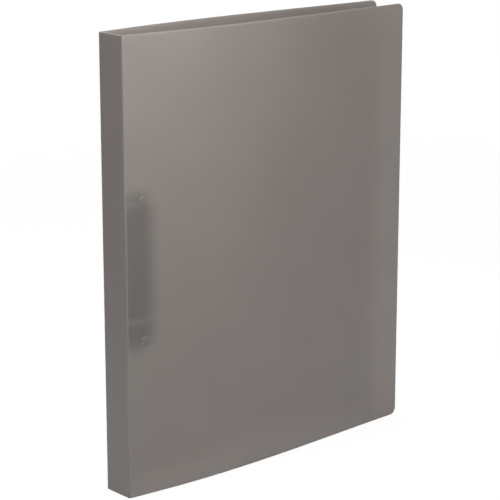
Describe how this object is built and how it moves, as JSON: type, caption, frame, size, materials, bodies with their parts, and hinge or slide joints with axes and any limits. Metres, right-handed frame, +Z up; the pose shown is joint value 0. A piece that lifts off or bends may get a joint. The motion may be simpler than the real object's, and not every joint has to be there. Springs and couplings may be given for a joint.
{
  "type": "ring binder",
  "caption": "Slim upright ring binder of smoke-grey translucent plastic sheet, with hinged bowed covers and a ring mechanism that opens.",
  "frame": {"origin": "on the surface the binder stands on, under the middle of its bounding box", "axes": "+Z up along the spine, +X from the spine to the open edge, +Y from the back cover to the front cover"},
  "size_m": [0.258, 0.0382, 0.315],
  "materials": {
    "sheet": "translucent smoke-grey polypropylene sheet with a fine matt grain",
    "nickel": "bright nickel plate on pressed steel",
    "lacquer": "smoke-grey lacquer on steel"
  },
  "bodies": {
    "spine": {"spine": "sheet"},
    "front_cover": {"front_cover": "sheet"},
    "back_cover": {"back_cover": "sheet", "top_plate": "nickel", "lower_rivet": "lacquer", "upper_rivet": "lacquer", "lower_bush": "nickel", "upper_bush": "nickel"},
    "spine_side_half": {"spine_side_carrier": "nickel", "lower_ring_spine_side": "nickel", "upper_ring_spine_side": "nickel"},
    "page_side_half": {"page_side_carrier": "nickel", "lower_ring_page_side": "nickel", "upper_ring_page_side": "nickel"}
  },
  "joints": [
    {"name": "front_cover_fold", "type": "hinge", "parent": "spine", "child": "front_cover", "pos_m": [-0.129, 0.0125, 0.1575], "axis": [0, 0, 1], "range_deg": [0, 180]},
    {"name": "back_cover_fold", "type": "hinge", "parent": "spine", "child": "back_cover", "pos_m": [-0.129, -0.0125, 0.1575], "axis": [0, 0, -1], "range_deg": [0, 180]},
    {"name": "spine_side_rings", "type": "hinge", "parent": "back_cover", "child": "spine_side_half", "pos_m": [-0.12158, -0.01084, 0.1575], "axis": [0, 0, 1], "range_deg": [0, 15]},
    {"name": "page_side_rings", "type": "hinge", "parent": "back_cover", "child": "page_side_half", "pos_m": [-0.10885, -0.01222, 0.1575], "axis": [0, 0, 1], "range_deg": [-15, 0]}
  ],
  "couplings": [
    {"joint": "page_side_rings", "follows": "spine_side_rings", "ratio": -1}
  ]
}
